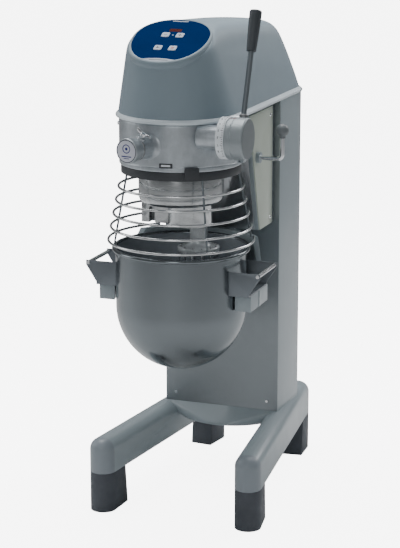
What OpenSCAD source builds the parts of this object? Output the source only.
// Floor-standing planetary mixer. Millimetres, +Z up, origin on the floor under the middle of its footprint.
// The operator stands at -Y. The bowl and planetary axis is vertical at y = bowl_y.

/* [Bowl] */
// Outer radius of the bowl's straight wall
bowl_r = 160; // [158:0.5:161]
// Sheet thickness of the bowl
bowl_wall = 2; // [1.5:0.5:2.5]
// Height of the top of the rolled rim
rim_z = 688; // [686:1:689]

/* [Stand] */
// Width of the column
col_w = 310; // [306:1:314]
// Front face of the column, measured back from the bowl axis
col_front = 296; // [294:1:300]
// Rear face of the column, measured back from the bowl axis
col_back = 515; // [505:1:520]
// Radius of the column's rear corners
col_corner = 50; // [35:1:60]
// Width of each leg
leg_w = 66; // [62:1:68]
// Height of the rubber feet
foot_h = 102; // [90:1:110]
// Height of the top of the legs
leg_top = 188; // [184:1:189]

/* [Head] */
// Height of the bottom edge of the head cover
head_z = 1008; // [1007:1:1010]
// Radius of the round front of the head cover at its bottom edge
head_r = 152; // [150:0.5:153]
// Slope of the control panel
panel_slope = 26; // [25:0.5:27]
// Half width of the egg-shaped control panel
panel_half_w = 92; // [88:1:93]
// Reach of the control panel from its widest line towards the operator
panel_front = 102; // [98:1:103]
// Reach of the control panel from its widest line towards the rear
panel_rear = 76; // [70:1:78]

/* [Gearbox] */
// Outer radius of the gearbox casting
casting_r = 149; // [148:0.5:150]
// Outer radius of the rotating planetary cup
cup_r = 103; // [98:1:105]
// Angle of the accessory outlet to the left of straight ahead
hub_angle = 12.5; // [8:0.5:15]
// Gear module of the planetary set
gear_module = 2.5; // [2.5:0.5:2.5]
// Teeth of the fixed internal ring gear
ring_teeth = 60; // [60:1:60]
// Teeth of the planet gear
planet_teeth = 24; // [24:1:24]

/* [Lift] */
// Travel of the bowl lift
lift_travel = 130; // [100:5:130]
// Gear module of the lift rack
rack_module = 3; // [3:1:3]
// Teeth of the lift pinion
lift_teeth = 16; // [16:1:16]
// Length of the crank arm to the centre of its ball knob
crank_arm = 71; // [60:1:75]

/* [Guard] */
// Radius of the lowest guard wire
guard_low_r = 177; // [176:0.5:177.5]
// Radius of the highest guard wire
guard_high_r = 151; // [150:0.5:152]
// Number of guard wires
guard_rows = 5; // [4:1:5]

/* [Hidden] */

// Distance of the bowl axis in front of the origin
bowl_y = -188;
fit = 0.05;

col_z = 190;
col_top = head_z - 1;
panel_t = 2.5;
web_z = 150;
leg_front = [192, -50];
leg_rear = [123, 574];
leg_round = 28;
leg_run = leg_rear - leg_front;
leg_length = norm(leg_run);
leg_angle = atan(-leg_run[0] / leg_run[1]);
screw_x = 126;
screw_z = 214;

neck_bottom = 697;
neck_w = 137;
neck_wall = 10;
neck_top = col_top;
neck_lean = 0.286;
casting_z = 893;
casting_top = col_top;
casting_wall = 8;
scoop_low_r = 184;
scoop_high_r = 155;

ring_pitch_r = gear_module * ring_teeth / 2;
planet_pitch_r = gear_module * planet_teeth / 2;
tool_x = ring_pitch_r - planet_pitch_r;
spigot_r = 110;
spigot_z = 871;
gear_z = 875;
gear_h = 15;
main_r = 14;
tool_r = 12.5;
bearing_r = 21;
cup_z = 797;
cup_top = 868;
boss_z = 742;
belt_z = 1034;
belt_h = 24;
driven_r = 90;
motor_pulley_r = 36;
motor_y = 400;

hub_z = 953;
hub_r = 27;
hub_bore_r = 16.5;
hub_end = 224;
bevel_main_r = 39;
bevel_hub_r = 26;

dial_y = -112;
dial_z = 978;
dial_r = 49.5;
dial_x = 143;
scale_w = 20;
dial_w = 44.5;
lever_lean = 20;
lever_x = 190;
rod_r = 6;

pinion_pitch_r = rack_module * lift_teeth / 2;
crank_y = 160;
crank_z = 885;
crank_x = 204;
pinion_x = 112;
pinion_w = 14;
rod_x = 85;
rod_y = 235;
guide_r = 12;
carriage_z = 880;
carriage_h = 110;

yoke_z = 548;
arm_top = 588;
wing_top = 694;
pin_x = 176.5;
bowl_centre_z = 541;
bracket_y = 64;
bracket_t = 3;
grip_x = 218;
grip_z = 641;
grip_r = 5;

guard_bottom_z = 704;
guard_top_z = 836;
guard_wire_r = 3.2;
guard_start = 129;
guard_sweep = 259;
guard_rod_angles = [28, -48.5, -138, 129];
guard_block_angle = -60;
guard_ring_z = 872;
guard_ring_h = 20;
guard_ring_r = 145;
guard_rod_r = 2.6;

head_half_w = 154;
head_back = col_back + 2;
head_corner = 56;
head_rise = 190;
panel_origin = [0, -76, 1190];
panel_wide_y = 16;
egg_power = 0.91;
bezel_w = 10;
button_size = 20;
button_pitch = 36;
button_row = [27, -28.5];

whisk_collar_z = 676;
whisk_collar_r = 50;
whisk_wire_r = 1.5;
whisk_loops = 6;

module at_bowl() {
  translate([0, bowl_y, 0]) children();
}

// Bar along X between two coordinates.
module bar_x(r, x0, x1, y, z) {
  translate([x0, y, z]) rotate([0, 90, 0]) cylinder(r = r, h = x1 - x0, $fn = 64);
}

// ---------- stand ----------

module leg_section() {
  h = leg_top - foot_h;
  flat_w = leg_w / 2 - leg_round;
  translate([-leg_w / 2, 0]) square([leg_w, h - leg_round]);
  translate([-flat_w, 0]) square([2 * flat_w, h]);
  for (s = [-1, 1]) {
    translate([s * flat_w, h - leg_round]) circle(leg_round, $fn = 64);
  }
}

// Frame of a leg: origin at the centre of its front end, +Y along the leg to the rear.
module at_leg(side) {
  translate([side * leg_front[0], leg_front[1], foot_h]) rotate([0, 0, side * leg_angle]) children();
}

module column_outline(inset, front) {
  w = col_w / 2 - inset;
  back = col_back - inset;
  r = col_corner - inset;
  translate([-w, front]) square([2 * w, back - r - front]);
  translate([r - w, front]) square([2 * (w - r), back - front]);
  for (s = [-1, 1]) {
    translate([s * (w - r), back - r]) circle(r, $fn = 64);
  }
}

module base_frame() {
  color("lightsteelblue") at_bowl() {
    for (side = [-1, 1]) {
      at_leg(side) translate([0, leg_length, 0]) rotate([90, 0, 0]) linear_extrude(leg_length) leg_section();
    }
    translate([0, 0, web_z]) linear_extrude(col_z - web_z) column_outline(0, col_front);
    apron();
  }
}

// Apron that bows forward from the foot of the column.
module apron() {
  reach = 150;
  hull() {
    translate([-col_w / 2, col_front, col_z - 4]) cube([col_w, 10, 4]);
    translate([0, col_front + reach - 49, web_z]) rotate([0, 0, 180]) rotate_extrude(angle = 180, $fn = 48)
      square([reach, 6]);
  }
}

module leg_end_cap() {
  rotate([0, 0, 180]) rotate_extrude(angle = 180, $fn = 64) intersection() {
    leg_section();
    square([leg_w, leg_top]);
  }
}

module leg_end_caps() {
  color("lightslategray") at_bowl() for (side = [-1, 1]) {
    at_leg(side) leg_end_cap();
    at_leg(side) translate([0, leg_length, 0]) rotate([0, 0, 180]) leg_end_cap();
  }
}

module foot(side, rear) {
  toe = 62;
  flare = 12;
  color([0.12, 0.13, 0.15]) at_bowl() at_leg(side)
    translate([0, rear ? leg_length : 0, -foot_h]) rotate([0, 0, rear ? 180 : 0]) hull() {
      cylinder(r = leg_w / 2, h = foot_h, $fn = 40);
      translate([3 - leg_w / 2, 0, foot_h - 1]) cube([leg_w - 6, toe, 1]);
      translate([4 - leg_w / 2, 0, 0]) cube([leg_w - 8, toe + flare, 6]);
    }
}

module foot_front_left() { foot(-1, false); }
module foot_front_right() { foot(1, false); }
module foot_rear_left() { foot(-1, true); }
module foot_rear_right() { foot(1, true); }

module column_shell() {
  gland_r = 10.1;
  color("lightsteelblue") at_bowl() difference() {
    translate([0, 0, col_z]) linear_extrude(col_top - col_z) column_outline(0, col_front + panel_t);
    translate([0, 0, col_z - 1]) linear_extrude(col_top - col_z + 2) column_outline(2.5, col_front - 5);
    translate([70, col_back + 1, 270]) rotate([90, 0, 0]) cylinder(r = gland_r, h = 10, $fn = 48);
  }
}

module column_front_panel() {
  opening_w = neck_w + 0.5;
  color("silver") at_bowl() difference() {
    translate([-col_w / 2, col_front, col_z]) cube([col_w, panel_t, col_top - col_z]);
    translate([-opening_w, col_front - 1, neck_bottom - 0.5]) cube([2 * opening_w, panel_t + 2, col_top]);
    for (s = [-1, 1]) {
      translate([s * screw_x, col_front + 5, screw_z]) rotate([90, 0, 0]) cylinder(r = 2.55, h = 10, $fn = 32);
    }
  }
}

module panel_screws() {
  color("gainsboro") at_bowl() for (s = [-1, 1]) {
    translate([s * screw_x, col_front - 0.02, screw_z]) rotate([90, 0, 0]) cylinder(r1 = 4.8, r2 = 3.6, h = 2.6, $fn = 32);
    translate([s * screw_x, col_front + 9, screw_z]) rotate([90, 0, 0]) cylinder(r = 2.5, h = 9.02, $fn = 32);
  }
}

// Inner chassis: four posts, two shelves and the top plate that carries the motor.
module column_frame() {
  post = 20;
  post_x = 120;
  front_y = 305;
  rear_y = 440;
  top = 1003;
  color("dimgray") at_bowl() difference() {
    union() {
      for (s = [-1, 1], y = [front_y, rear_y]) {
        translate([s > 0 ? post_x : -post_x - post, y, col_z]) cube([post, post, top - col_z]);
      }
      for (z = [col_z, 560, top - 6]) {
        translate([-post_x - post, front_y, z]) cube([2 * (post_x + post), rear_y + post - front_y, 6]);
      }
    }
    translate([0, motor_y, top - 10]) cylinder(r = 30, h = 20, $fn = 64);
  }
}

module cable_gland() {
  color([0.1, 0.1, 0.1]) at_bowl() translate([70, 0, 270]) rotate([-90, 0, 0]) difference() {
    union() {
      translate([0, 0, col_back - 12]) cylinder(r = 10, h = 14, $fn = 48);
      translate([0, 0, col_back]) cylinder(r = 15, h = 5, $fn = 6);
      translate([0, 0, col_back + 5]) cylinder(r1 = 13, r2 = 9, h = 14, $fn = 48);
    }
    translate([0, 0, col_back - 20]) cylinder(r = 6, h = 60, $fn = 48);
  }
}

// ---------- neck between column and gearbox ----------

function neck_front(z) = col_front - 114 - (z - neck_bottom) * neck_lean;
function scoop_r(z) = scoop_low_r - (z - neck_bottom) * (scoop_low_r - scoop_high_r) / (casting_z - neck_bottom);

module along_x(x0, x1) {
  translate([x0, 0, 0]) rotate([90, 0, 90]) linear_extrude(x1 - x0) children();
}

module neck_wall_outline() {
  polygon([
    [neck_front(neck_bottom), neck_bottom], [305, neck_bottom], [305, neck_top], [80, neck_top],
    [80, casting_z + 7], [neck_front(casting_z + 7), casting_z + 7]
  ]);
}

module neck_housing() {
  color("slategray") at_bowl() difference() {
    union() {
      along_x(-neck_w, neck_wall - neck_w) neck_wall_outline();
      along_x(neck_w - neck_wall, neck_w) neck_wall_outline();
      translate([-neck_w + 1, 290, neck_bottom]) cube([2 * neck_w - 2, 10, neck_top - neck_bottom]);
      for (z = [neck_bottom, neck_top - 10]) {
        translate([-neck_w + 1, 219, z]) cube([2 * neck_w - 2, 75, 10]);
      }
      saddle();
      cheek(0);
      cheek(1);
      bar_x(14, neck_w - 5, neck_w + 12, crank_y, crank_z);
    }
    bar_x(rod_r + 0.06, neck_w - 20, neck_w + 20, crank_y, crank_z);
    for (s = [-1, 1]) {
      translate([s * rod_x, rod_y, neck_bottom - 1]) cylinder(r = guide_r + fit, h = 400, $fn = 64);
    }
  }
}

// Curved wall that the gearbox casting bolts against.
module saddle() {
  inner = casting_r + 0.1;
  translate([0, 0, casting_z + 7]) intersection() {
    difference() {
      cylinder(r = inner + 8, h = 96, $fn = 96);
      translate([0, 0, -1]) cylinder(r = inner, h = 98, $fn = 96);
    }
    translate([1 - neck_w, 20, 0]) cube([2 * neck_w - 2, 200, 96]);
  }
}

// Painted cheek that fairs the casting into the neck wall.
module cheek(flip) {
  mirror([flip, 0, 0]) translate([0, 0, casting_z + 7]) rotate_extrude(angle = 36, $fn = 96)
    translate([casting_r + 1, 0]) square([8, neck_top - casting_z - 7]);
}

module neck_side_panels() {
  back = col_front - 14;
  top = 996;
  color("cornsilk") at_bowl() for (flip = [0, 1]) {
    mirror([flip, 0, 0]) difference() {
      along_x(neck_w + fit, neck_w + 3) polygon([
        [neck_front(neck_bottom) + 3, neck_bottom], [back, neck_bottom], [back, top], [neck_front(top) + 5, top]
      ]);
      if (flip == 0) {
        bar_x(14.2, neck_w - 5, neck_w + 20, crank_y, crank_z);
      }
    }
  }
}

// Space of the neck behind its scooped front, set back by inset.
module neck_space(inset) {
  low = neck_bottom - inset;
  high = casting_z + inset;
  margin = 1;
  difference() {
    along_x(-neck_w + neck_wall + fit - inset, neck_w - neck_wall - fit + inset) polygon([
      [neck_front(low) + inset, low], [215 + inset, low], [215 + inset, high], [neck_front(high) + inset, high]
    ]);
    translate([0, 0, low - margin])
      cylinder(r1 = scoop_r(low - margin) + inset, r2 = scoop_r(high + margin) + inset,
               h = high - low + 2 * margin, $fn = 96);
  }
}

module neck_front_plate() {
  color("darkgray") at_bowl() difference() {
    neck_space(0);
    neck_space(2.5);
    translate([-200, 187, 0]) cube([400, 100, 2000]);
  }
}

// ---------- head ----------

module head_outline(r, centre_y, half_w, back, corner) {
  translate([0, centre_y]) circle(r, $fn = 64);
  translate([-half_w, centre_y + 60]) square([2 * half_w, back - corner - centre_y - 60]);
  for (s = [-1, 1]) {
    translate([s * (half_w - corner), back - corner]) circle(corner, $fn = 48);
  }
}

module head_slab(z, r, centre_y, half_w, back, corner, t) {
  translate([0, 0, z]) linear_extrude(1) hull() head_outline(r - t, centre_y, half_w - t, back - t, corner - t);
}

// Plan of the head at a share u of its height: it narrows upwards and its rear corners grow rounder.
module head_level(u, t) {
  r = head_r - 45 * u;
  centre_y = r - 153 - 4 * u;
  half_w = head_half_w - 47 * u - 5 * u * u;
  head_slab(head_z + head_rise * u, r, centre_y, half_w, head_back - 34 * u, head_corner + 50 * u, t);
}

// Outer form of the head, or its inside when t is the wall thickness.
module head_form(t) {
  wall_share = 0.62;
  hull() {
    for (u = [0, wall_share]) {
      head_level(u, t);
    }
    at_panel() translate([0, 0, -3 - t]) linear_extrude(3) oval(bezel_w - t);
    for (s = [-1, 1]) {
      translate([s * 62, 80, 1190]) sphere(32 - t, $fn = 24);
      translate([s * 50, 250, 1174]) sphere(36 - t, $fn = 24);
      translate([s * 44, 416, 1145]) sphere(50 - t, $fn = 28);
    }
  }
}

// Egg-shaped outline of the control panel, grown by grow.
function egg(grow) = [
  for (a = [0:3:357]) let (c = cos(a), n = sin(a), reach = n < 0 ? panel_front : panel_rear) [
    sign(c) * (panel_half_w + grow) * pow(abs(c), egg_power),
    panel_wide_y + sign(n) * (reach + grow) * pow(abs(n), egg_power)
  ]
];

module oval(grow) {
  polygon(egg(grow));
}

module at_panel() {
  translate(panel_origin) rotate([panel_slope, 0, 0]) children();
}

module head_cover() {
  wall = 4;
  color("lightsteelblue") at_bowl() difference() {
    head_form(0);
    head_form(wall);
    translate([-200, -200, head_z - wall - 2]) cube([400, 800, wall + 2]);
    at_panel() translate([0, 0, -30]) linear_extrude(60) oval(0.2);
  }
}

// Plan of the head's bottom edge at a height above it, grown by grow.
module trim_slab(rise, grow) {
  head_slab(head_z + rise, head_r, -1, head_half_w, head_back, head_corner, -grow);
}

module head_trim() {
  lip = 3.2;
  edge = 2.4;
  gap = 1;
  color("slategray") at_bowl() difference() {
    hull() {
      trim_slab(0.5, edge);
      trim_slab(3, lip);
      trim_slab(6.5, edge);
    }
    hull() {
      trim_slab(-2, gap);
      trim_slab(9, gap);
    }
  }
}

module control_panel_bezel() {
  color("lightsteelblue") at_bowl() at_panel() translate([0, 0, fit]) difference() {
    union() {
      linear_extrude(3) oval(bezel_w);
      linear_extrude(5) oval(bezel_w - 3);
    }
    translate([0, 0, -1]) linear_extrude(10) oval(0.2);
  }
}

module rounded_square(w, h, r) {
  translate([-w / 2 + r, -h / 2]) square([w - 2 * r, h]);
  translate([-w / 2, -h / 2 + r]) square([w, h - 2 * r]);
  for (sx = [-1, 1], sy = [-1, 1]) {
    translate([sx * (w / 2 - r), sy * (h / 2 - r)]) circle(r, $fn = 32);
  }
}

module at_button(column, row) {
  translate([(column - 0.5) * button_pitch, button_row[row], 0]) children();
}

window_w = 32;
window_h = 14;
window_y = 48;

module control_panel_face() {
  gap = 0.4;
  color("navy") at_bowl() at_panel() difference() {
    union() {
      translate([0, 0, -3]) linear_extrude(4.5) oval(0);
      for (sx = [-1, 1], sy = [-1, 1]) {
        translate([sx * 52, sy * 36, -9]) cylinder(r = 3, h = 7, $fn = 32);
      }
    }
    for (column = [0, 1], row = [0, 1]) {
      at_button(column, row) translate([0, 0, -5]) linear_extrude(10)
        rounded_square(button_size + 2 * gap, button_size + 2 * gap, 4 + gap);
    }
    translate([0, window_y, -5]) linear_extrude(10) rounded_square(window_w, window_h, 3);
  }
}

module display_window() {
  color("darkred") at_bowl() at_panel() translate([0, window_y, -3]) linear_extrude(4.3)
    rounded_square(window_w - 2 * fit, window_h - 2 * fit, 3);
}

module button(column, row) {
  color("whitesmoke") at_bowl() at_panel() at_button(column, row) {
    translate([0, 0, -4]) linear_extrude(6.6) rounded_square(button_size, button_size, 4);
    translate([0, 0, -6]) cylinder(r = 4, h = 3, $fn = 32);
  }
}

module timer_down_button() { button(0, 0); }
module timer_up_button() { button(1, 0); }
module start_button() { button(0, 1); }
module stop_button() { button(1, 1); }

module control_board() {
  color("darkgreen") at_bowl() at_panel() {
    translate([0, 0, -10.7]) linear_extrude(1.6) rounded_square(124, 104, 4);
    for (column = [0, 1], row = [0, 1]) {
      at_button(column, row) translate([-5, -5, -9.2]) cube([10, 10, 2]);
    }
    translate([-14, window_y - 6, -9.2]) cube([28, 12, 4]);
    translate([-20, -12, -16]) cube([40, 14, 5.4]);
  }
}

// ---------- gearbox ----------

// Frame of the accessory outlet: origin on the main axis, +Z outwards along the outlet.
module at_hub() {
  translate([0, 0, hub_z]) rotate([0, 0, -hub_angle]) rotate([90, 0, 0]) children();
}

module gearbox_housing() {
  inner = casting_r - casting_wall;
  color("lightgray") at_bowl() difference() {
    union() {
      translate([0, 0, casting_z]) cylinder(r = casting_r, h = casting_top - casting_z, $fn = 120);
      translate([0, 0, spigot_z]) cylinder(r = spigot_r, h = casting_z - spigot_z + 1, $fn = 120);
      bar_x(22, 90, dial_x, dial_y, dial_z);
    }
    difference() {
      translate([0, 0, casting_z + casting_wall])
        cylinder(r = inner, h = casting_top - casting_z - 2 * casting_wall, $fn = 120);
      translate([0, 0, casting_z]) cylinder(r = 30, h = 24, $fn = 64);
      translate([0, 0, casting_top - 24]) cylinder(r = 30, h = 24, $fn = 64);
    }
    translate([0, 0, spigot_z - 1]) cylinder(r = 93, h = casting_z - spigot_z + 1, $fn = 120);
    translate([0, 0, casting_z - 1]) cylinder(r = main_r + 4, h = 200, $fn = 64);
    translate([0, 0, casting_z + 4]) cylinder(r = bearing_r + 0.02, h = 30, $fn = 64);
    translate([0, 0, casting_top - 34]) cylinder(r = bearing_r + 0.02, h = 30, $fn = 64);
    at_hub() cylinder(r = hub_r + 0.1, h = casting_r + 20, $fn = 64);
    bar_x(8.05, 60, dial_x + 5, dial_y, dial_z);
  }
}

module shaft_bearing() {
  difference() {
    cylinder(r = bearing_r, h = 14, $fn = 64);
    translate([0, 0, -1]) cylinder(r = main_r + fit, h = 16, $fn = 64);
  }
}

module shaft_bearings() {
  color("silver") at_bowl() {
    translate([0, 0, casting_z + 4.05]) shaft_bearing();
    translate([0, 0, casting_top - 18.05]) shaft_bearing();
  }
}

// Straight-flanked gear outline: half tooth widths are fractions of the pitch angle.
function gear_points(teeth, root_r, tip_r, root_half, tip_half) = [
  for (i = [0:teeth - 1], p = [[root_r, -root_half], [tip_r, -tip_half], [tip_r, tip_half], [root_r, root_half]])
    [p[0] * cos((i + p[1]) * 360 / teeth), p[0] * sin((i + p[1]) * 360 / teeth)]
];

module ring_gear() {
  m = gear_module;
  color("gray") at_bowl() translate([0, 0, gear_z]) linear_extrude(gear_h) difference() {
    circle(92.95, $fn = 120);
    polygon(gear_points(ring_teeth, ring_pitch_r - 0.75 * m, ring_pitch_r + 1.2 * m, 0.40, 0.16));
  }
}

module planet_gear() {
  m = gear_module;
  color("gray") at_bowl() translate([tool_x, 0, gear_z + 1]) linear_extrude(gear_h - 2) difference() {
    polygon(gear_points(planet_teeth, planet_pitch_r - 1.1 * m, planet_pitch_r + 0.85 * m, 0.34, 0.11));
    circle(tool_r + 0.02, $fn = 64);
  }
}

module agitator_shaft() {
  color("silver") at_bowl() translate([tool_x, 0, 0]) {
    translate([0, 0, 697]) cylinder(r = tool_r, h = 194, $fn = 64);
    translate([0, 0, 714]) rotate([90, 0, 0]) translate([0, 0, -20]) cylinder(r = 4, h = 40, $fn = 32);
    translate([0, 0, cup_z + 20.5]) cylinder(r = 18, h = 6, $fn = 64);
  }
}

module planetary_cup() {
  wall = 6;
  corner = 16;
  color("gainsboro") at_bowl() difference() {
    union() {
      difference() {
        rotate_extrude($fn = 120) {
          translate([0, cup_z]) square([cup_r - corner, cup_top - cup_z]);
          translate([0, cup_z + corner]) square([cup_r, cup_top - cup_z - corner]);
          intersection() {
            translate([cup_r - corner, cup_z + corner]) circle(corner, $fn = 64);
            translate([0, cup_z]) square([cup_r, corner]);
          }
        }
        translate([0, 0, cup_z + 10]) cylinder(r = cup_r - wall, h = 100, $fn = 120);
      }
      translate([0, 0, cup_z]) cylinder(r = 22, h = 46, $fn = 64);
      translate([tool_x, 0, cup_z]) cylinder(r = 21, h = 20, $fn = 64);
      translate([24, 0, boss_z]) cylinder(r = 53, h = cup_z - boss_z + 1, $fn = 96);
      translate([-92, -28, boss_z + 3]) cube([70, 56, cup_z - boss_z - 2]);
    }
    translate([0, 0, cup_z - 8]) cylinder(r = main_r + 0.02, h = 100, $fn = 64);
    translate([tool_x, 0, boss_z - 1]) cylinder(r = tool_r + fit, h = 120, $fn = 64);
    translate([-72, -29, boss_z + 2]) cube([14, 20, 40]);
  }
}

module main_shaft() {
  bevel_z = hub_z - bevel_hub_r - 0.6;
  color("silver") at_bowl() {
    difference() {
      translate([0, 0, cup_z - 6]) cylinder(r = main_r, h = belt_z + belt_h + 8 - cup_z + 6, $fn = 64);
      translate([0, 0, gear_z - 1]) difference() {
        cylinder(r = main_r + 1, h = gear_h + 2, $fn = 64);
        translate([0, 0, -1]) cylinder(r = main_r - 2, h = gear_h + 4, $fn = 64);
      }
    }
    translate([0, 0, bevel_z - 6]) cylinder(r = bevel_main_r, h = 6, $fn = 64);
    translate([0, 0, bevel_z]) cylinder(r1 = bevel_main_r, r2 = 30, h = 6, $fn = 64);
  }
}

module hub_housing() {
  color("lightgray") at_bowl() difference() {
    union() {
      at_hub() translate([0, 0, casting_r - casting_wall]) cylinder(r = hub_r, h = hub_end - casting_r + casting_wall, $fn = 64);
      difference() {
        at_hub() translate([0, 0, 140]) cylinder(r1 = 40, r2 = hub_r, h = 26, $fn = 64);
        cylinder(r = casting_r + fit, h = 2000, $fn = 120);
      }
      at_hub() rotate([0, 0, -30]) translate([0, 20, 190]) rotate([-90, 0, 0]) cylinder(r = 9, h = 12, $fn = 48);
    }
    at_hub() translate([0, 0, 100]) cylinder(r = hub_bore_r, h = 200, $fn = 64);
    at_hub() rotate([0, 0, -30]) translate([0, 10, 190]) rotate([-90, 0, 0]) cylinder(r = 4.06, h = 40, $fn = 48);
  }
}

module hub_cap() {
  color("whitesmoke") at_bowl() at_hub() difference() {
    translate([0, 0, hub_end - 12]) cylinder(r = hub_r + 2.4, h = 18, $fn = 96);
    translate([0, 0, hub_end - 13]) cylinder(r = hub_r + fit, h = 13.05, $fn = 96);
  }
}

// Wing-headed screw that locks an attachment in the outlet.
module hub_clamp_screw() {
  color("silver") at_bowl() at_hub() rotate([0, 0, -30]) translate([0, 0, 190]) rotate([-90, 0, 0]) {
    translate([0, 0, 17]) cylinder(r = 4, h = 24, $fn = 48);
    translate([0, 0, 36]) cylinder(r = 6.5, h = 8, $fn = 48);
    for (s = [-1, 1]) {
      translate([s * 13, 2.5, 42]) rotate([90, 0, 0]) cylinder(r = 7.5, h = 5, $fn = 48);
    }
    translate([-13, -2.5, 36]) cube([26, 5, 7]);
  }
}

module hub_drive_shaft() {
  bevel_at = bevel_main_r + 0.6;
  color("silver") at_bowl() at_hub() difference() {
    union() {
      translate([0, 0, bevel_at]) cylinder(r = bevel_hub_r, h = 6, $fn = 64);
      translate([0, 0, bevel_at - 9]) cylinder(r1 = 20, r2 = bevel_hub_r, h = 9, $fn = 64);
      translate([0, 0, bevel_at]) cylinder(r = 10, h = 206 - bevel_at, $fn = 64);
      translate([0, 0, 150]) cylinder(r = 15, h = 54, $fn = 64);
    }
    translate([-6, -6, 185]) cube([12, 12, 40]);
  }
}

// ---------- speed control ----------

module speed_scale_ring() {
  color("white") at_bowl() translate([dial_x + fit, dial_y, dial_z]) rotate([0, 90, 0]) difference() {
    cylinder(r = dial_r, h = scale_w, $fn = 120);
    translate([0, 0, -1]) cylinder(r = 10, h = scale_w + 2, $fn = 64);
  }
}

module at_lever() {
  translate([lever_x, dial_y, dial_z]) rotate([-lever_lean, 0, 0]) children();
}

module speed_dial() {
  start = dial_x + scale_w + 0.6;
  color("lightgray") at_bowl() difference() {
    union() {
      bar_x(8, 78, start + 5, dial_y, dial_z);
      translate([start, dial_y, dial_z]) rotate([0, 90, 0]) cylinder(r = dial_r, h = dial_w - 2, $fn = 120);
      translate([start + dial_w - 2, dial_y, dial_z]) rotate([0, 90, 0]) cylinder(r1 = dial_r, r2 = dial_r - 2, h = 2, $fn = 120);
    }
    at_lever() translate([0, 0, 20]) cylinder(r = rod_r + fit, h = 60, $fn = 64);
  }
}

module speed_lever_rod() {
  color("dimgray") at_bowl() at_lever() translate([0, 0, 20.1]) cylinder(r = rod_r, h = 200, $fn = 64);
}

module speed_lever_grip() {
  color([0.2, 0.22, 0.24]) at_bowl() at_lever() difference() {
    union() {
      translate([0, 0, 206]) cylinder(r1 = 10, r2 = 13, h = 94, $fn = 64);
      translate([0, 0, 300]) cylinder(r1 = 13, r2 = 10, h = 4, $fn = 64);
    }
    translate([0, 0, 200]) cylinder(r = rod_r + fit, h = 20.2, $fn = 64);
  }
}

// ---------- bowl lift ----------

module lift_crank() {
  bend = 12;
  color("silver") at_bowl() {
    bar_x(rod_r, pinion_x - 8, crank_x - bend, crank_y, crank_z);
    translate([crank_x - bend, crank_y, crank_z + bend]) rotate([90, 0, 0]) rotate([0, 0, -90])
      rotate_extrude(angle = 90, $fn = 64) translate([bend, 0]) circle(rod_r, $fn = 48);
    translate([crank_x, crank_y, crank_z + bend]) cylinder(r = rod_r, h = crank_arm - bend - 8, $fn = 64);
  }
}

module lift_ball_knob() {
  color("black") at_bowl() translate([crank_x, crank_y, crank_z + crank_arm]) difference() {
    union() {
      sphere(16, $fn = 64);
      translate([0, 0, -19]) cylinder(r = 8.5, h = 10, $fn = 48);
    }
    translate([0, 0, -25]) cylinder(r = rod_r + fit, h = 17.1, $fn = 64);
  }
}

module lift_pinion() {
  m = rack_module;
  color("gray") at_bowl() translate([pinion_x, crank_y, crank_z]) rotate([90, 0, 90]) linear_extrude(pinion_w) difference() {
    rotate(180 / lift_teeth) polygon(
      gear_points(lift_teeth, pinion_pitch_r - 1.1 * m, pinion_pitch_r + 0.8 * m, 0.33, 0.12));
    circle(rod_r + fit, $fn = 64);
  }
}

// Rack teeth point to -Y, towards the pinion.
module lift_rack() {
  m = rack_module;
  pitch = PI * m;
  pitch_y = crank_y + pinion_pitch_r;
  count = floor((lift_travel + 24) / pitch);
  first_z = crank_z - pitch;
  root_y = pitch_y + 1.15 * m;
  tip_y = pitch_y - 0.75 * m;
  back_y = root_y + 14;
  teeth = [
    for (i = [0:count], p = [[root_y, -0.36], [tip_y, -0.12], [tip_y, 0.12], [root_y, 0.36]])
      [p[0], first_z + (i + p[1]) * pitch]
  ];
  ends = [[back_y, first_z + (count + 0.5) * pitch], [back_y, first_z - 0.5 * pitch]];
  color("gray") at_bowl() along_x(pinion_x, pinion_x + pinion_w) polygon(concat(teeth, ends));
}

module lift_carriage() {
  rack_back = crank_y + pinion_pitch_r + 1.15 * rack_module + 14.04;
  color("lightslategray") at_bowl() difference() {
    union() {
      translate([-108, 202.02, carriage_z]) cube([216, 59, carriage_h]);
      translate([100, rack_back, carriage_z]) cube([26, 261 - rack_back, carriage_h]);
    }
    for (s = [-1, 1]) {
      translate([s * rod_x, rod_y, carriage_z - 1]) cylinder(r = guide_r + 0.06, h = carriage_h + 2, $fn = 64);
    }
  }
}

module guide_rods() {
  color("silver") at_bowl() for (s = [-1, 1]) {
    translate([s * rod_x, rod_y, neck_bottom]) cylinder(r = guide_r, h = neck_top - neck_bottom, $fn = 64);
  }
}

module yoke() {
  inner = bowl_r + 3.5;
  band_r = 186;
  color("lightsteelblue") at_bowl() difference() {
    union() {
      intersection() {
        translate([0, 0, yoke_z]) rotate_extrude(angle = 180, $fn = 120)
          translate([band_r, 0]) square([12, wing_top - yoke_z]);
        along_x(-220, 220) polygon([
          [10, yoke_z], [210, yoke_z], [210, wing_top], [122, wing_top], [74, arm_top], [10, arm_top]
        ]);
      }
      for (s = [-1, 1]) {
        translate([s > 0 ? 150 : -196, -50, yoke_z]) cube([46, 128, arm_top - yoke_z]);
      }
      translate([-70, 190, yoke_z]) cube([140, 12, carriage_z + carriage_h - 5 - yoke_z]);
      translate([-58, 178, yoke_z + 10]) cube([116, 20, wing_top - yoke_z - 20]);
    }
    translate([0, 0, yoke_z - 1]) cylinder(r = inner, h = 300, $fn = 120);
    for (s = [-1, 1]) {
      translate([s * pin_x, 0, yoke_z - 1]) cylinder(r = 6.02, h = 60, $fn = 48);
    }
  }
}

module yoke_pins() {
  color("silver") at_bowl() for (s = [-1, 1]) {
    translate([s * pin_x, 0, yoke_z]) cylinder(r = 6, h = 46, $fn = 48);
    translate([s * pin_x, 0, yoke_z + 46]) cylinder(r1 = 6, r2 = 4, h = 4, $fn = 48);
  }
}

// ---------- bowl ----------

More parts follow.
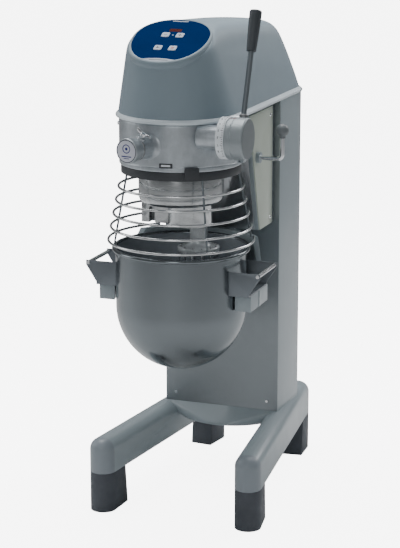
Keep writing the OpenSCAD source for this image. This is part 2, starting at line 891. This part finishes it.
module bowl_section(r) {
  intersection() {
    translate([0, bowl_centre_z]) circle(r, $fn = 160);
    translate([0, bowl_centre_z - 158]) square([r, 158.01]);
  }
}

module bowl() {
  bead = 5.5;
  inner = bowl_r - bowl_wall;
  color("silver") at_bowl() rotate_extrude($fn = 120) difference() {
    union() {
      bowl_section(bowl_r);
      translate([0, bowl_centre_z]) square([bowl_r, rim_z - bead - bowl_centre_z]);
      translate([bowl_r + bead - bowl_wall, rim_z - bead]) circle(bead, $fn = 48);
    }
    translate([0, bowl_wall]) intersection() {
      translate([0, bowl_centre_z - bowl_wall]) circle(inner, $fn = 160);
      translate([0, bowl_centre_z - 158]) square([inner, 158]);
    }
    translate([0, bowl_centre_z - 0.1]) square([inner, 200]);
  }
}

// Two sheet brackets and a foot plate, welded to the bowl wall.
module bowl_bracket(side) {
  top = 647;
  foot = 594;
  tab_z = arm_top + fit;
  color("lightslategray") at_bowl() mirror([side < 0 ? 1 : 0, 0, 0]) difference() {
    union() {
      for (y = [-bracket_y - bracket_t, bracket_y]) {
        translate([0, y + bracket_t, 0]) rotate([90, 0, 0]) linear_extrude(bracket_t) polygon([
          [130, foot], [197, foot], [220, 630], [grip_x + 6, 636], [grip_x + 6, top], [130, top]
        ]);
      }
      translate([130, -bracket_y - 1, tab_z]) cube([67, 2 * bracket_y + 2, 4]);
      for (y = [-bracket_y - bracket_t, bracket_y]) {
        translate([130, y, tab_z]) cube([67, bracket_t, 8]);
      }
    }
    translate([0, 0, 500]) cylinder(r = bowl_r + 0.03, h = 200, $fn = 120);
    translate([pin_x, 0, 550]) cylinder(r = 7, h = 60, $fn = 48);
    translate([grip_x, 100, grip_z]) rotate([90, 0, 0]) cylinder(r = grip_r + 0.02, h = 200, $fn = 48);
  }
}

module bowl_bracket_left() { bowl_bracket(-1); }
module bowl_bracket_right() { bowl_bracket(1); }

module bowl_grips() {
  reach = bracket_y + 5;
  color("silver") at_bowl() for (s = [-1, 1]) {
    translate([s * grip_x, reach, grip_z]) rotate([90, 0, 0]) cylinder(r = grip_r, h = 2 * reach, $fn = 48);
  }
}

// ---------- bowl guard ----------

function guard_r(z) = guard_low_r + (z - guard_bottom_z) * (guard_high_r - guard_low_r) / (guard_top_z - guard_bottom_z);

// Slanted upright rods of the guard, grown by grow.
module guard_rods(grow) {
  inset = guard_wire_r + guard_rod_r - 1;
  low = guard_bottom_z - 2;
  high = guard_ring_z + 12;
  lean = atan((guard_r(low) - guard_r(high)) / (high - low));
  for (a = guard_rod_angles) {
    rotate([0, 0, a]) translate([guard_r(low) - inset, 0, low]) rotate([0, -lean, 0])
      cylinder(r = guard_rod_r + grow, h = (high - low) / cos(lean) + grow, $fn = 32);
  }
}

module guard_ring() {
  block_w = 34;
  color([0.15, 0.15, 0.16]) at_bowl() difference() {
    union() {
      translate([0, 0, guard_ring_z]) cylinder(r = guard_ring_r, h = guard_ring_h, $fn = 120);
      rotate([0, 0, guard_block_angle]) {
        translate([136, -block_w / 2, guard_ring_z + 7]) cube([21, block_w, 12]);
        translate([casting_r + 1.5, -block_w / 2, guard_ring_z + 12]) cube([6.5, block_w, 21]);
      }
    }
    translate([0, 0, guard_ring_z - 1]) cylinder(r = spigot_r + 2, h = guard_ring_h + 2, $fn = 120);
    guard_rods(fit);
  }
}

module guard_wires() {
  step = (guard_top_z - guard_bottom_z) / (guard_rows - 1);
  color("silver") at_bowl() {
    for (i = [0:guard_rows - 1]) {
      z = guard_bottom_z + i * step;
      translate([0, 0, z]) rotate([0, 0, guard_start]) rotate_extrude(angle = guard_sweep, $fn = 120)
        translate([guard_r(z), 0]) circle(guard_wire_r, $fn = 32);
    }
    guard_rods(0);
  }
}

// ---------- whisk ----------

module whisk_hub() {
  stem_r = 21;
  stem_top = 739;
  color("silver") at_bowl() translate([tool_x, 0, 0]) difference() {
    union() {
      translate([0, 0, whisk_collar_z]) cylinder(r = whisk_collar_r, h = 14, $fn = 96);
      translate([0, 0, whisk_collar_z + 14]) cylinder(r1 = 34, r2 = stem_r, h = 8, $fn = 96);
      translate([0, 0, whisk_collar_z + 22]) cylinder(r = stem_r, h = stem_top - whisk_collar_z - 22, $fn = 96);
    }
    translate([0, 0, 696]) cylinder(r = tool_r + fit, h = 100, $fn = 64);
    translate([0, 40, 714]) rotate([90, 0, 0]) cylinder(r = 4.06, h = 80, $fn = 32);
  }
}

// One loop: two straight legs tangent to a bottom arc of radius r centred at height c.
module whisk_loop(r, c) {
  foot_r = whisk_collar_r - 6;
  rise = whisk_collar_z + 3 - c;
  d = norm([foot_r, rise]);
  tangent = atan2(rise, foot_r) - acos(r / d);
  straight = sqrt(d * d - r * r);
  translate([0, 0, c]) rotate([90, 0, 0]) {
    rotate([0, 0, 180 - tangent]) rotate_extrude(angle = 180 + 2 * tangent, $fn = 96)
      translate([r, 0]) circle(whisk_wire_r, $fn = 24);
    for (flip = [0, 1]) {
      mirror([flip, 0, 0]) rotate([0, 0, tangent]) translate([r, -0.4, 0]) rotate([-90, 0, 0])
        cylinder(r = whisk_wire_r + 0.02, h = straight + 0.4, $fn = 24);
    }
  }
}

module whisk_wires() {
  color("gainsboro") at_bowl() translate([tool_x, 0, 0]) for (i = [0:whisk_loops - 1]) {
    rotate([0, 0, i * 180 / whisk_loops]) whisk_loop(80 - 0.5 * i, 492 + 3.1 * i);
  }
}

// ---------- drive ----------

module pulley(r, bore) {
  difference() {
    union() {
      cylinder(r = r + 4, h = 3, $fn = 96);
      translate([0, 0, belt_h - 3]) cylinder(r = r + 4, h = 3, $fn = 96);
      cylinder(r = r, h = belt_h, $fn = 96);
    }
    translate([0, 0, -1]) cylinder(r = bore + 0.02, h = belt_h + 2, $fn = 64);
  }
}

module driven_pulley() {
  color("darkgray") at_bowl() translate([0, 0, belt_z]) pulley(driven_r, main_r);
}

module motor_pulley() {
  color("darkgray") at_bowl() translate([0, motor_y, 0]) {
    translate([0, 0, belt_z]) pulley(motor_pulley_r, 9.98);
    translate([0, 0, 900]) cylinder(r = 10, h = belt_z + belt_h + 4 - 900, $fn = 64);
  }
}

// Outline of a belt around both pulleys, grown by grow.
module belt_outline(grow) {
  hull() {
    circle(driven_r + grow, $fn = 96);
    translate([0, motor_y]) circle(motor_pulley_r + grow, $fn = 64);
  }
}

module drive_belt() {
  color([0.12, 0.12, 0.12]) at_bowl() translate([0, 0, belt_z + 3.5]) linear_extrude(belt_h - 7) difference() {
    belt_outline(3.6);
    belt_outline(0.1);
  }
}

module motor() {
  color("steelblue") at_bowl() translate([0, motor_y, 0]) difference() {
    union() {
      translate([0, 0, 770]) cylinder(r = 72, h = 205, $fn = 96);
      translate([0, 0, 975]) cylinder(r = 80, h = 21.9, $fn = 96);
      for (a = [0:15:345]) {
        rotate([0, 0, a]) translate([70, -1.5, 785]) cube([7, 3, 180]);
      }
      translate([-30, -95, 850]) cube([60, 40, 90]);
    }
    translate([0, 0, 899]) cylinder(r = 10.06, h = 200, $fn = 64);
  }
}

base_frame();
leg_end_caps();
foot_front_left();
foot_front_right();
foot_rear_left();
foot_rear_right();
column_shell();
column_front_panel();
panel_screws();
column_frame();
cable_gland();
neck_housing();
neck_side_panels();
neck_front_plate();
head_cover();
head_trim();
control_panel_bezel();
control_panel_face();
display_window();
timer_up_button();
timer_down_button();
start_button();
stop_button();
control_board();
gearbox_housing();
shaft_bearings();
ring_gear();
hub_housing();
hub_cap();
hub_clamp_screw();
hub_drive_shaft();
speed_scale_ring();
speed_dial();
speed_lever_rod();
speed_lever_grip();
lift_crank();
lift_ball_knob();
lift_pinion();
lift_rack();
lift_carriage();
guide_rods();
yoke();
yoke_pins();
bowl();
bowl_bracket_left();
bowl_bracket_right();
bowl_grips();
guard_ring();
guard_wires();
planetary_cup();
planet_gear();
agitator_shaft();
whisk_hub();
whisk_wires();
main_shaft();
driven_pulley();
drive_belt();
motor_pulley();
motor();
